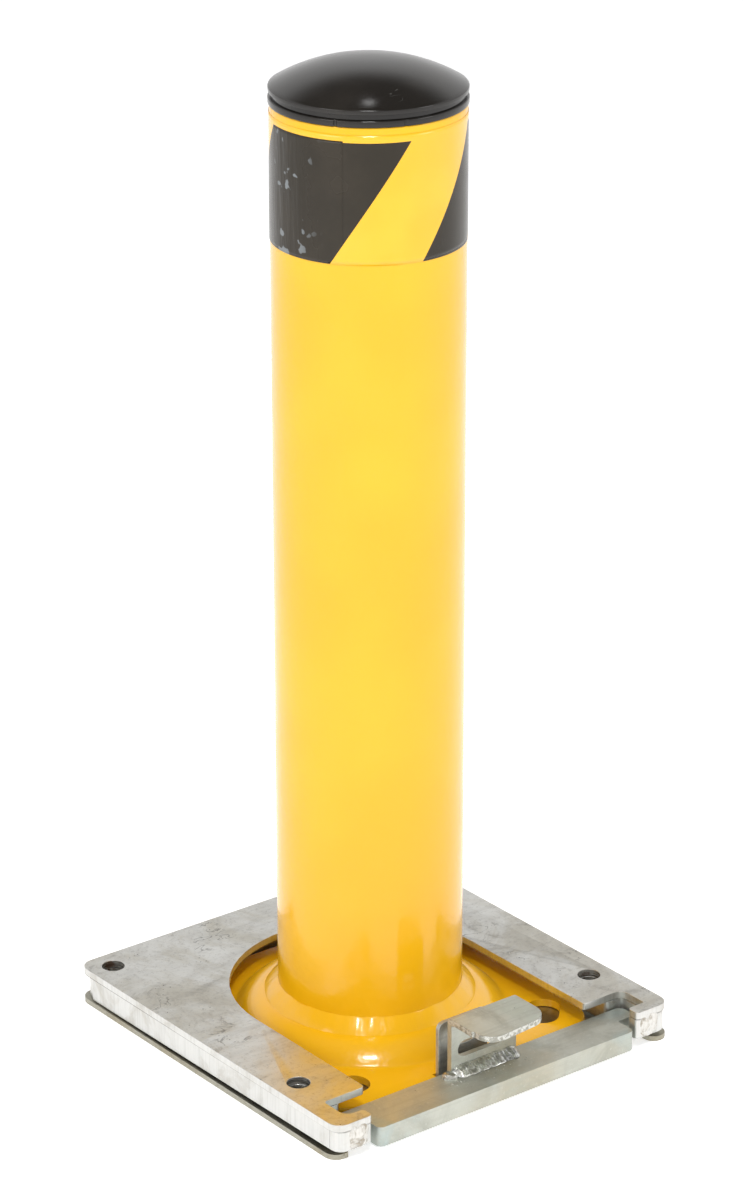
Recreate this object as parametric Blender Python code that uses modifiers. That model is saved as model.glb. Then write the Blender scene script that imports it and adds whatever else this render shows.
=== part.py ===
"""Removable steel safety bollard: a yellow post on a pressed flange that slides into a ground
receiver and is held there by a drop-in lock bar.

Frame: +Z up, the lock bar is on the -Y side, origin on the ground on the post's axis.
Sizes are metres; MM turns the millimetre figures into metres.
"""

import math

import bmesh
import bpy

MM = 0.001
GAP = 0.3 * MM

# Post
POST_RADIUS = 57.15 * MM
POST_WALL = 3.0 * MM
POST_TOP = 587.8 * MM
ROUND_STEPS = 56

# Ground receiver: floor plate, rails and top plate, stacked
RECEIVER_HALF_WIDTH = 129.0 * MM
RECEIVER_REAR = 131.5 * MM
RECEIVER_FRONT = -134.5 * MM
FLOOR_THICKNESS = 3.4 * MM
RAIL_BOTTOM = 3.7 * MM
RAIL_BOTTOM_FRONT = 6.2 * MM
RAIL_TOP = 19.2 * MM
PLATE_BOTTOM = RAIL_TOP + GAP
PLATE_TOP = 24.3 * MM
RAIL_INSET = 1.5 * MM
RAIL_INNER = 103.5 * MM
SLOT_HALF_WIDTH = 85.1 * MM
SLOT_CENTRE = 3.8 * MM
NOTCH_REAR = -104.6 * MM
NOTCH_FRONT = -125.6 * MM
NOTCH_OUTER = 115.6 * MM
HOOK_TIP = 102.5 * MM
LEFT_FOOT_INNER = -117.5 * MM
LEFT_FOOT_FRONT = -131.0 * MM
RIGHT_FOOT_INNER = 114.6 * MM
RIGHT_FOOT_FRONT = -135.0 * MM
ANCHOR_RADIUS = 7.2 * MM
ANCHOR_X = 113.2 * MM
ANCHOR_REAR = 116.0 * MM
ANCHOR_FRONT = -76.5 * MM

# Bollard flange, pressed up into a boss under the post
FLANGE_HALF = 100.5 * MM
FLANGE_CORNER = 20.0 * MM
FLANGE_TOP = 8.7 * MM
FLANGE_THICKNESS = 4.9 * MM
BOSS_TOP = 21.5 * MM
BOSS_INNER = 62.0 * MM
BOSS_OUTER = 83.6 * MM
BOLT_SLOTS = {
    "rear_left": ((-76 * MM, 76 * MM), 33 * MM, 22 * MM, 45),
    "rear_right": ((76 * MM, 76 * MM), 33 * MM, 22 * MM, -45),
    "front_left": ((-75 * MM, -75 * MM), 28 * MM, 22 * MM, 0),
    "front_right": ((78.5 * MM, -73.5 * MM), 32 * MM, 21 * MM, 45),
}
POST_WELD_LEG = 8.2 * MM

# Padlock tab, upright in a notch in the flange's front edge
TAB_LEFT = -24.4 * MM
TAB_WIDTH = 38.1 * MM
TAB_CLEARANCE = 2.1 * MM
TAB_REAR = -95.5 * MM
TAB_THICKNESS = 3.0 * MM
TAB_BOTTOM = 3.9 * MM
TAB_TOP = 43.2 * MM
TAB_SLOT_LENGTH = 19.5 * MM
TAB_SLOT_HEIGHT = 10.4 * MM
TAB_SLOT_Z = 30.0 * MM

# Lock bar, T-shaped seen from above, and its angle bracket
BAR_BOTTOM = 1.0 * MM
BAR_TOP = 13.7 * MM
BAR_REAR = -105.9 * MM
BAR_STEP = -119.6 * MM
BAR_FRONT = -135.2 * MM
BAR_LEFT = -98.0 * MM
BAR_RIGHT = 100.0 * MM
TONGUE_END = 114.0 * MM
BRACKET_LEFT = -23.7 * MM
BRACKET_RIGHT = 26.7 * MM
BRACKET_THICKNESS = 4.0 * MM
BRACKET_BOTTOM = BAR_TOP + GAP
BRACKET_TOP = 51.0 * MM
BEND_OUTER_RADIUS = 3.5 * MM
BEND_INNER_RADIUS = 1.8 * MM
SHELF_FRONT_LEFT = -144.8 * MM
SHELF_FRONT_RIGHT = -140.4 * MM
LOCK_SLOT_LEFT = -18.7 * MM
LOCK_SLOT_RIGHT = 21.7 * MM
LOCK_SLOT_BOTTOM = 23.2 * MM
LOCK_SLOT_TOP = 34.0 * MM
BRACKET_WELD_LEG = 8.0 * MM
BRACKET_WELD_HEIGHT = 4.6 * MM

# Marking tape and cap
TAPE_BOTTOM = 507.3 * MM
TAPE_TOP = 583.5 * MM
TAPE_OFFSET = 0.15 * MM
TAPE_THICKNESS = 0.25 * MM
CAP_RADIUS = 57.9 * MM
CAP_RING_BOTTOM = POST_TOP + GAP
CAP_RING_TOP = 592.0 * MM
CAP_RIM_BOTTOM = 595.2 * MM
CAP_RIM_TOP = 598.4 * MM
CAP_APEX = 613.7 * MM
CAP_DOME_POWER = 2.2
CAP_WALL = 2.6 * MM
CAP_SKIRT_BOTTOM = 552.0 * MM
CAP_COLLAR_RADIUS = 50.0 * MM

PAINT = ("yellow_paint", (0.95, 0.55, 0.03), 0.18, 0.0)
BARE_STEEL = ("bare_steel", (0.62, 0.61, 0.57), 0.38, 1.0)
ZINC = ("zinc_plate", (0.55, 0.56, 0.50), 0.34, 1.0)
WELD_METAL = ("weld_metal", (0.66, 0.66, 0.62), 0.30, 1.0)
TAPE_FILM = ("tape_film", (0.93, 0.62, 0.05), 0.25, 0.0)
CAP_PLASTIC = ("cap_plastic", (0.03, 0.03, 0.03), 0.40, 0.0)


def clear_scene():
    for obj in list(bpy.data.objects):
        bpy.data.objects.remove(obj, do_unlink=True)


def new_collection(name):
    collection = bpy.data.collections.new(name)
    bpy.context.scene.collection.children.link(collection)
    return collection


def material_of(look):
    name, colour, roughness, metallic = look
    material = bpy.data.materials.get(name)
    if material is None:
        material = bpy.data.materials.new(name)
        material.use_nodes = True
        shader = material.node_tree.nodes["Principled BSDF"]
        shader.inputs["Base Color"].default_value = (*colour, 1.0)
        shader.inputs["Roughness"].default_value = roughness
        shader.inputs["Metallic"].default_value = metallic
    return material


def new_body(name, parent=None):
    """An empty on a body's joint axis, which carries the body's pieces."""
    body = bpy.data.objects.new(name, None)
    body.empty_display_size = 0.05
    body.parent = parent
    PARTS.objects.link(body)
    return body


def place(obj, look, body):
    """Link a finished object under its body with its material, smooth but for its edges."""
    PARTS.objects.link(obj)
    obj.parent = body
    obj.data.materials.append(material_of(look))
    obj.data.shade_smooth()
    obj.data.set_sharp_from_angle(angle=math.radians(35))
    return obj


def arc(centre, radius, start_deg, end_deg, steps):
    """Points on an arc, both ends included."""
    angles = [math.radians(start_deg + (end_deg - start_deg) * i / steps) for i in range(steps + 1)]
    return [(centre[0] + radius * math.cos(a), centre[1] + radius * math.sin(a)) for a in angles]


def rounded(corners, steps=4):
    """An outline through (x, y, radius) corners, each turned with its own radius. Two-value
    entries are kept as plain points."""
    outline = []
    for i, corner in enumerate(corners):
        if len(corner) == 2 or corner[2] == 0:
            outline.append(corner[:2])
            continue
        x, y, radius = corner
        before = corners[i - 1]
        after = corners[(i + 1) % len(corners)]
        in_dir = unit(before[0] - x, before[1] - y)
        out_dir = unit(after[0] - x, after[1] - y)
        half_angle = math.acos(in_dir[0] * out_dir[0] + in_dir[1] * out_dir[1]) / 2
        bisector = unit(in_dir[0] + out_dir[0], in_dir[1] + out_dir[1])
        reach = radius / math.sin(half_angle)
        centre = (x + bisector[0] * reach, y + bisector[1] * reach)
        tangent = radius / math.tan(half_angle)
        first = (x + in_dir[0] * tangent, y + in_dir[1] * tangent)
        last = (x + out_dir[0] * tangent, y + out_dir[1] * tangent)
        start = math.atan2(first[1] - centre[1], first[0] - centre[0])
        turn = math.atan2(last[1] - centre[1], last[0] - centre[0]) - start
        turn = (turn + math.pi) % (2 * math.pi) - math.pi
        outline += arc(centre, radius, math.degrees(start), math.degrees(start + turn), steps)
    return outline


def unit(x, y):
    length = math.hypot(x, y)
    return (x / length, y / length)


def circle(centre, radius, steps=20):
    return arc(centre, radius, 0, 360, steps)[:-1]


def obround(centre, length, width, turn_deg=0, steps=7):
    """A slot outline: two half circles joined by straight sides."""
    turn = math.radians(turn_deg)
    reach = (length - width) / 2
    ahead = (math.cos(turn) * reach, math.sin(turn) * reach)
    near = arc((centre[0] + ahead[0], centre[1] + ahead[1]), width / 2, turn_deg - 90, turn_deg + 90, steps)
    far = arc((centre[0] - ahead[0], centre[1] - ahead[1]), width / 2, turn_deg + 90, turn_deg + 270, steps)
    return near + far


def plate_mesh(name, outlines, thickness):
    """A flat plate about z = 0, from an outer outline and any hole outlines."""
    curve = bpy.data.curves.new(name, "CURVE")
    curve.dimensions = "2D"
    curve.fill_mode = "BOTH"
    curve.extrude = thickness / 2
    for outline in outlines:
        spline = curve.splines.new("POLY")
        spline.points.add(len(outline) - 1)
        for point, (x, y) in zip(spline.points, outline):
            point.co = (x, y, 0, 1)
        spline.use_cyclic_u = True
    guide = bpy.data.objects.new(name + "_outline", curve)
    bpy.context.scene.collection.objects.link(guide)
    graph = bpy.context.evaluated_depsgraph_get()
    mesh = bpy.data.meshes.new_from_object(guide.evaluated_get(graph))
    mesh.name = name
    bpy.data.objects.remove(guide, do_unlink=True)
    bpy.data.curves.remove(curve)
    body = bmesh.new()
    body.from_mesh(mesh)
    bmesh.ops.remove_doubles(body, verts=body.verts, dist=1e-6)
    bmesh.ops.recalc_face_normals(body, faces=body.faces)
    body.to_mesh(mesh)
    body.free()
    return mesh


def flat_plate(name, outlines, bottom, top):
    obj = bpy.data.objects.new(name, plate_mesh(name, outlines, top - bottom))
    obj.location.z = (bottom + top) / 2
    return obj


def upright_plate(name, outlines, rear, thickness):
    """A plate standing in the XZ plane, whose outlines are given as (x, z)."""
    obj = bpy.data.objects.new(name, plate_mesh(name, outlines, thickness))
    obj.rotation_euler.x = math.pi / 2
    obj.location.y = rear - thickness / 2
    return obj


def bar_along_x(name, outline, left, right):
    """A bar whose section is given as (y, z), running from left to right."""
    obj = bpy.data.objects.new(name, plate_mesh(name, [outline], right - left))
    obj.rotation_euler = (math.pi / 2, 0, math.pi / 2)
    obj.location.x = (left + right) / 2
    return obj


def turned(name, profile, steps=ROUND_STEPS, closed=True):
    """A solid of revolution about Z. The (radius, z) profile runs down its outer side first."""
    mesh = bpy.data.meshes.new(name)
    edges = [(i, i + 1) for i in range(len(profile) - 1)]
    if closed:
        edges.append((len(profile) - 1, 0))
    mesh.from_pydata([(r, 0, z) for r, z in profile], edges, [])
    obj = bpy.data.objects.new(name, mesh)
    screw = obj.modifiers.new("turn", "SCREW")
    screw.axis = "Z"
    screw.steps = steps
    screw.render_steps = steps
    screw.use_merge_vertices = True
    screw.merge_threshold = 1e-5
    screw.use_smooth_shade = True
    return obj


def boolean(obj, other, operation):
    """Join or cut obj with a helper object, which is kept out of the render."""
    CUTTERS.objects.link(other)
    other.hide_render = True
    other.display_type = "WIRE"
    modifier = obj.modifiers.new(other.name, "BOOLEAN")
    modifier.operation = operation
    modifier.solver = "EXACT"
    modifier.object = other


def ease_edges(obj, width, segments=1, angle_deg=50):
    bevel = obj.modifiers.new("eased_edges", "BEVEL")
    bevel.width = width
    bevel.segments = segments
    bevel.limit_method = "ANGLE"
    bevel.angle_limit = math.radians(angle_deg)


def mirrored(outline):
    """The same outline on the other side of the YZ plane, running the same way round."""
    return [(-corner[0], *corner[1:]) for corner in reversed(outline)]


def anchor_holes(sides=(-1, 1)):
    centres = [(side * ANCHOR_X, y) for side in sides for y in (ANCHOR_REAR, ANCHOR_FRONT)]
    return [circle(centre, ANCHOR_RADIUS) for centre in centres]


def make_floor_plate():
    outline = rounded(
        [
            (LEFT_FOOT_INNER, NOTCH_REAR, 3 * MM),
            (LEFT_FOOT_INNER, LEFT_FOOT_FRONT, 1 * MM),
            (-RECEIVER_HALF_WIDTH, LEFT_FOOT_FRONT, 8 * MM),
            (-RECEIVER_HALF_WIDTH, RECEIVER_REAR, 9 * MM),
            (RECEIVER_HALF_WIDTH, RECEIVER_REAR, 9 * MM),
            (RECEIVER_HALF_WIDTH, RIGHT_FOOT_FRONT, 7 * MM),
            (RIGHT_FOOT_INNER, RIGHT_FOOT_FRONT, 7 * MM),
            (RIGHT_FOOT_INNER, NOTCH_REAR, 3 * MM),
        ]
    )
    plate = flat_plate("floor_plate", [outline, *anchor_holes()], 0, FLOOR_THICKNESS)
    ease_edges(plate, 0.4 * MM)
    place(plate, BARE_STEEL, RECEIVER)


def make_side_rail(name, side):
    outer = RECEIVER_HALF_WIDTH - RAIL_INSET
    rear = RECEIVER_REAR - RAIL_INSET
    # The rear corner is cut with two flats; the front end is narrowed beside the notch.
    corner = arc((-outer + 12 * MM, rear - 12 * MM), 12 * MM, 180, 90, 2)
    front_end = [
        (-RAIL_INNER, NOTCH_REAR, 3 * MM),
        (-NOTCH_OUTER, NOTCH_REAR, 2 * MM),
        (-NOTCH_OUTER, NOTCH_FRONT + GAP),
        (-outer, NOTCH_FRONT + GAP),
    ]
    left = [*front_end, *corner, (-RAIL_INNER, rear)]
    outline = rounded(left if side < 0 else mirrored(left))
    rail = flat_plate(name, [outline, *anchor_holes([side])], 0, RAIL_TOP)
    # The underside climbs from the floor plate at the rear to an open gap at the front.
    below = [
        (RECEIVER_REAR, -FLOOR_THICKNESS),
        (RECEIVER_REAR, RAIL_BOTTOM),
        (RECEIVER_FRONT, RAIL_BOTTOM_FRONT),
        (RECEIVER_FRONT, -FLOOR_THICKNESS),
    ]
    gap = bar_along_x(name + "_gap_cut", below, -2 * RECEIVER_HALF_WIDTH, 2 * RECEIVER_HALF_WIDTH)
    boolean(rail, gap, "DIFFERENCE")
    ease_edges(rail, 0.3 * MM)
    place(rail, BARE_STEEL, RECEIVER)


def make_rear_rail():
    rear = RECEIVER_REAR - RAIL_INSET
    reach = RAIL_INNER - GAP
    front = RAIL_INNER + 1.5 * MM
    outline = [(-reach, front), (reach, front), (reach, rear), (-reach, rear)]
    rail = flat_plate("rear_rail", [outline], RAIL_BOTTOM, RAIL_TOP)
    ease_edges(rail, 0.3 * MM)
    place(rail, BARE_STEEL, RECEIVER)


def make_hook_block(name, side):
    outer = RECEIVER_HALF_WIDTH - RAIL_INSET
    front = RECEIVER_FRONT + GAP
    left = [
        (-outer, NOTCH_FRONT),
        (-outer, front, 7 * MM),
        (-HOOK_TIP, front, 2.5 * MM),
        (-HOOK_TIP, NOTCH_FRONT, 2 * MM),
    ]
    outline = rounded(left if side < 0 else mirrored(left))
    block = flat_plate(name, [outline], RAIL_BOTTOM_FRONT, RAIL_TOP)
    ease_edges(block, 0.3 * MM)
    place(block, BARE_STEEL, RECEIVER)


def make_top_plate():
    left = [
        (-SLOT_HALF_WIDTH, NOTCH_REAR, 3 * MM),
        (-NOTCH_OUTER, NOTCH_REAR, 2 * MM),
        (-NOTCH_OUTER, NOTCH_FRONT, 6 * MM),
        (-HOOK_TIP, NOTCH_FRONT, 2.5 * MM),
        (-HOOK_TIP, RECEIVER_FRONT, 2.5 * MM),
        (-RECEIVER_HALF_WIDTH, RECEIVER_FRONT, 8 * MM),
        (-RECEIVER_HALF_WIDTH, RECEIVER_REAR, 9 * MM),
    ]
    right = mirrored(left)
    # The right notch is cut the other way round: its front corner is sharp, its rear one round.
    right[4] = (NOTCH_OUTER, NOTCH_FRONT, 1 * MM)
    right[5] = (NOTCH_OUTER, NOTCH_REAR, 6 * MM)
    right[6] = (SLOT_HALF_WIDTH, NOTCH_REAR, 2 * MM)
    slot_end = arc((0, SLOT_CENTRE), SLOT_HALF_WIDTH, 0, 180, 28)
    outline = rounded([*left, *right, *slot_end])
    plate = flat_plate("top_plate", [outline, *anchor_holes()], PLATE_BOTTOM, PLATE_TOP)
    ease_edges(plate, 0.4 * MM)
    place(plate, BARE_STEEL, RECEIVER)


def make_hook_weld(name, side):
    """The ground-down weld that joins the top plate's hook to the block below it."""
    centre_x = side * 112.5 * MM
    outline = rounded(
        [
            (centre_x - 7.5 * MM, 5.5 * MM, 4 * MM),
            (centre_x + 7.5 * MM, 5.5 * MM, 4 * MM),
            (centre_x + 7.5 * MM, 22.5 * MM, 4 * MM),
            (centre_x - 7.5 * MM, 22.5 * MM, 4 * MM),
        ]
    )
    weld = upright_plate(name, [outline], RECEIVER_FRONT - GAP, 0.9 * MM)
    ease_edges(weld, 0.3 * MM)
    place(weld, WELD_METAL, RECEIVER)


def boss_height(radius):
    """Top of the flange above the ground: level under the post, then falling ever steeper to a
    crisp fold where it meets the flat."""
    share = (radius - BOSS_INNER) / (BOSS_OUTER - BOSS_INNER)
    return BOSS_TOP + (FLANGE_TOP - BOSS_TOP) * share * share


def square_reach(angle):
    """Distance from the axis to the flange's rounded square edge, in a given direction."""
    dx = abs(math.cos(angle))
    dy = abs(math.sin(angle))
    straight = FLANGE_HALF / max(dx, dy)
    inner = FLANGE_HALF - FLANGE_CORNER
    if min(dx, dy) * straight <= inner:
        return straight
    along = inner * (dx + dy)
    return along + math.sqrt(along * along - 2 * inner * inner + FLANGE_CORNER**2)


def make_flange():
    ring_steps = 72
    rise_steps = 7
    radii = [BOSS_INNER + (BOSS_OUTER - BOSS_INNER) * i / rise_steps for i in range(rise_steps + 1)]
    shell = bmesh.new()
    disc = bmesh.ops.create_circle(shell, cap_ends=True, segments=ring_steps, radius=radii[0])
    for vert in disc["verts"]:
        vert.co.z = boss_height(radii[0])
    edge = [e for e in shell.edges if e.is_boundary]
    for radius in [*radii[1:], None]:
        grown = bmesh.ops.extrude_edge_only(shell, edges=edge)["geom"]
        for vert in [g for g in grown if isinstance(g, bmesh.types.BMVert)]:
            angle = math.atan2(vert.co.y, vert.co.x)
            reach = square_reach(angle) if radius is None else radius
            height = FLANGE_TOP if radius is None else boss_height(radius)
            vert.co = (reach * math.cos(angle), reach * math.sin(angle), height)
        edge = [g for g in grown if isinstance(g, bmesh.types.BMEdge) and g.is_boundary]
    bmesh.ops.recalc_face_normals(shell, faces=shell.faces)
    if sum(face.normal.z for face in shell.faces) < 0:
        bmesh.ops.reverse_faces(shell, faces=shell.faces)
    mesh = bpy.data.meshes.new("base_flange")
    shell.to_mesh(mesh)
    shell.free()
    flange = bpy.data.objects.new("base_flange", mesh)
    solidify = flange.modifiers.new("thickness", "SOLIDIFY")
    solidify.thickness = FLANGE_THICKNESS
    solidify.offset = -1
    solidify.use_even_offset = True
    for name, (centre, length, width, turn) in BOLT_SLOTS.items():
        outline = obround(centre, length, width, turn)
        cutter = flat_plate(name + "_slot_cut", [outline], -5 * MM, 30 * MM)
        boolean(flange, cutter, "DIFFERENCE")
    notch_left = TAB_LEFT - TAB_CLEARANCE
    notch_right = TAB_LEFT + TAB_WIDTH + TAB_CLEARANCE
    notch_rear = TAB_REAR + GAP
    notch_front = -FLANGE_HALF - 10 * MM
    notch = [
        (notch_left, notch_front),
        (notch_right, notch_front),
        (notch_right, notch_rear),
        (notch_left, notch_rear),
    ]
    boolean(flange, flat_plate("tab_notch_cut", [notch], -5 * MM, 30 * MM), "DIFFERENCE")
    ease_edges(flange, 1.2 * MM, 2, 60)
    place(flange, PAINT, BOLLARD)


def make_post():
    inner = POST_RADIUS - POST_WALL
    bottom = BOSS_TOP + GAP
    profile = [(POST_RADIUS, POST_TOP), (POST_RADIUS, bottom), (inner, bottom), (inner, POST_TOP)]
    place(turned("post_tube", profile), PAINT, BOLLARD)


def make_post_weld():
    inner = POST_RADIUS + GAP
    bottom = BOSS_TOP + GAP
    toe = inner + POST_WELD_LEG
    profile = [
        (inner, bottom + POST_WELD_LEG),
        (inner + 0.35 * POST_WELD_LEG, bottom + 0.80 * POST_WELD_LEG),
        (inner + 0.80 * POST_WELD_LEG, bottom + 0.35 * POST_WELD_LEG),
        (toe, bottom),
        (inner, bottom),
    ]
    place(turned("post_weld", profile), PAINT, BOLLARD)


def make_tape():
    inner = POST_RADIUS + TAPE_OFFSET
    outer = inner + TAPE_THICKNESS
    profile = [(outer, TAPE_TOP), (outer, TAPE_BOTTOM), (inner, TAPE_BOTTOM), (inner, TAPE_TOP)]
    place(turned("stripe_tape", profile), TAPE_FILM, BOLLARD)


def cap_dome(edge, reach, drop=0.0):
    """The (radius, z) line of the cap's low dome out to reach, lowered by drop."""
    steps = 8
    rise = CAP_APEX - CAP_RIM_TOP
    radii = [reach * i / steps for i in range(steps + 1)]
    return [(r, CAP_APEX - drop - rise * (r / edge) ** CAP_DOME_POWER) for r in radii]


def make_cap_lid():
    edge = CAP_RADIUS - 0.6 * MM
    collar_inner = CAP_COLLAR_RADIUS - 2.2 * MM
    recess = CAP_RADIUS - 1.6 * MM
    rim = [
        (CAP_RADIUS - 0.2 * MM, CAP_RIM_TOP - 0.7 * MM),
        (CAP_RADIUS - 0.1 * MM, CAP_RIM_BOTTOM),
        (recess, CAP_RIM_BOTTOM),
        (recess, CAP_RING_TOP + GAP),
    ]
    collar = [
        (CAP_COLLAR_RADIUS, CAP_RING_TOP + GAP),
        (CAP_COLLAR_RADIUS, CAP_RING_BOTTOM - 4 * MM),
        (collar_inner, CAP_RING_BOTTOM - 4 * MM),
    ]
    inside = cap_dome(edge, collar_inner, CAP_WALL)
    profile = cap_dome(edge, edge) + rim + collar + inside[::-1]
    place(turned("cap_lid", profile, closed=False), CAP_PLASTIC, CAP)


def make_cap_plug():
    skirt_outer = POST_RADIUS - POST_WALL - 0.35 * MM
    skirt_inner = skirt_outer - 2.5 * MM
    ring_inner = CAP_COLLAR_RADIUS + GAP
    shoulder = CAP_RING_BOTTOM + 1.5 * MM
    profile = [
        (CAP_RADIUS, CAP_RING_TOP),
        (CAP_RADIUS, CAP_RING_BOTTOM),
        (skirt_outer, CAP_RING_BOTTOM),
        (skirt_outer, CAP_SKIRT_BOTTOM),
        (skirt_inner, CAP_SKIRT_BOTTOM),
        (skirt_inner, shoulder),
        (ring_inner, shoulder),
        (ring_inner, CAP_RING_TOP),
    ]
    place(turned("cap_plug", profile), CAP_PLASTIC, CAP)


def make_padlock_tab():
    right = TAB_LEFT + TAB_WIDTH
    outline = rounded(
        [
            (TAB_LEFT, TAB_BOTTOM),
            (right, TAB_BOTTOM),
            (right, TAB_TOP, 4.5 * MM),
            (TAB_LEFT, TAB_TOP, 4.5 * MM),
        ]
    )
    middle = (TAB_LEFT + TAB_WIDTH / 2, TAB_SLOT_Z)
    hole = obround(middle, TAB_SLOT_LENGTH, TAB_SLOT_HEIGHT)
    tab = upright_plate("padlock_tab", [outline, hole], TAB_REAR, TAB_THICKNESS)
    ease_edges(tab, 0.4 * MM)
    place(tab, ZINC, BOLLARD)


def make_tab_weld():
    """A fillet along the foot of the tab, on top of the flange."""
    front = TAB_REAR + 2 * GAP
    bottom = FLANGE_TOP + GAP
    section = [
        (front, bottom),
        (front + 3.6 * MM, bottom),
        (front + 2.4 * MM, bottom + 2.4 * MM),
        (front, bottom + 3.6 * MM),
    ]
    weld = bar_along_x("tab_weld", section, TAB_LEFT + 2 * MM, TAB_LEFT + TAB_WIDTH - 2 * MM)
    place(weld, WELD_METAL, BOLLARD)


def make_lock_bar():
    outline = rounded(
        [
            (BAR_LEFT, BAR_FRONT, 4 * MM),
            (BAR_RIGHT, BAR_FRONT, 3.5 * MM),
            (BAR_RIGHT, BAR_STEP, 1 * MM),
            (TONGUE_END, BAR_STEP, 4 * MM),
            (TONGUE_END, BAR_REAR, 5 * MM),
            (-TONGUE_END, BAR_REAR, 5 * MM),
            (-TONGUE_END, BAR_STEP, 4 * MM),
            (BAR_LEFT, BAR_STEP, 1 * MM),
        ]
    )
    bar = flat_plate("lock_bar", [outline], BAR_BOTTOM, BAR_TOP)
    ease_edges(bar, 0.5 * MM)
    place(bar, ZINC, LOCK)


def make_lock_bracket():
    """A cut length of angle: a slotted leg on the bar and a shelf over it to lift by."""
    leg_front = BAR_REAR - BRACKET_THICKNESS
    shelf_bottom = BRACKET_TOP - BRACKET_THICKNESS
    shelf_end = SHELF_FRONT_LEFT - 2 * MM
    section = rounded(
        [
            (BAR_REAR, BRACKET_BOTTOM),
            (BAR_REAR, BRACKET_TOP, BEND_OUTER_RADIUS),
            (shelf_end, BRACKET_TOP),
            (shelf_end, shelf_bottom),
            (leg_front, shelf_bottom, BEND_INNER_RADIUS),
            (leg_front, BRACKET_BOTTOM),
        ],
        steps=5,
    )
    bracket = bar_along_x("lock_bracket", section, BRACKET_LEFT - 2 * MM, BRACKET_RIGHT + 2 * MM)
    plan = rounded(
        [
            (BRACKET_LEFT, BAR_REAR + 2 * MM),
            (BRACKET_LEFT, -129.0 * MM),
            (BRACKET_LEFT + 1.0 * MM, -130.2 * MM),
            (BRACKET_LEFT + 1.0 * MM, SHELF_FRONT_LEFT, 11 * MM),
            (BRACKET_RIGHT, SHELF_FRONT_RIGHT, 13 * MM),
            (BRACKET_RIGHT, BAR_REAR + 2 * MM),
        ],
        steps=7,
    )
    boolean(bracket, flat_plate("bracket_plan", [plan], 0, 2 * BRACKET_TOP), "INTERSECT")
    middle = ((LOCK_SLOT_LEFT + LOCK_SLOT_RIGHT) / 2, (LOCK_SLOT_BOTTOM + LOCK_SLOT_TOP) / 2)
    slot = obround(middle, LOCK_SLOT_RIGHT - LOCK_SLOT_LEFT, LOCK_SLOT_TOP - LOCK_SLOT_BOTTOM)
    cutter = upright_plate("lock_slot_cut", [slot], BAR_REAR + 2 * MM, 3 * BRACKET_THICKNESS)
    boolean(bracket, cutter, "DIFFERENCE")
    place(bracket, ZINC, LOCK)


def make_bracket_weld():
    """The bead along the front foot of the bracket's leg."""
    rear = BAR_REAR - BRACKET_THICKNESS - GAP
    bottom = BAR_TOP + GAP
    section = [
        (rear, bottom),
        (rear, bottom + BRACKET_WELD_HEIGHT),
        (rear - 0.4 * BRACKET_WELD_LEG, bottom + 0.82 * BRACKET_WELD_HEIGHT),
        (rear - 0.8 * BRACKET_WELD_LEG, bottom + 0.4 * BRACKET_WELD_HEIGHT),
        (rear - BRACKET_WELD_LEG, bottom),
    ]
    weld = bar_along_x("bracket_weld", section, BRACKET_LEFT, BRACKET_RIGHT)
    place(weld, WELD_METAL, LOCK)


def make_bracket_end_weld():
    """The bead where the weld wraps round the left end of the leg."""
    right = BRACKET_LEFT - GAP
    outline = rounded(
        [
            (right - 8 * MM, BAR_REAR - 0.8 * MM, 3 * MM),
            (right - 5.5 * MM, BAR_REAR - 11 * MM, 4 * MM),
            (right, BAR_REAR - 11.5 * MM),
            (right, BAR_REAR - 0.8 * MM),
        ]
    )
    weld = flat_plate("bracket_end_weld", [outline], BAR_TOP + GAP, BAR_TOP + GAP + 3.2 * MM)
    ease_edges(weld, 1.2 * MM, 2)
    place(weld, WELD_METAL, LOCK)


clear_scene()
PARTS = new_collection("safety_bollard")
CUTTERS = new_collection("cutters")
RECEIVER = new_body("receiver")
BOLLARD = new_body("bollard", RECEIVER)
CAP = new_body("cap", BOLLARD)
LOCK = new_body("lock", BOLLARD)

make_floor_plate()
make_side_rail("left_rail", -1)
make_side_rail("right_rail", 1)
make_rear_rail()
make_hook_block("left_hook_block", -1)
make_hook_block("right_hook_block", 1)
make_top_plate()
make_hook_weld("left_hook_weld", -1)
make_hook_weld("right_hook_weld", 1)
make_flange()
make_post()
make_post_weld()
make_tape()
make_padlock_tab()
make_tab_weld()
make_cap_plug()
make_cap_lid()
make_lock_bar()
make_lock_bracket()
make_bracket_weld()
make_bracket_end_weld()
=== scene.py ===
"""Looks of the removable safety bollard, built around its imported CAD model.

Each CAD node keeps its place and size. Round, painted and welded pieces are made again here with
finer geometry; plates and bars are their own CAD shapes with softened edges. Units are metres.
"""

import math
import random

import bmesh
import bpy
from mathutils import Matrix, Vector, noise


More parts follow.
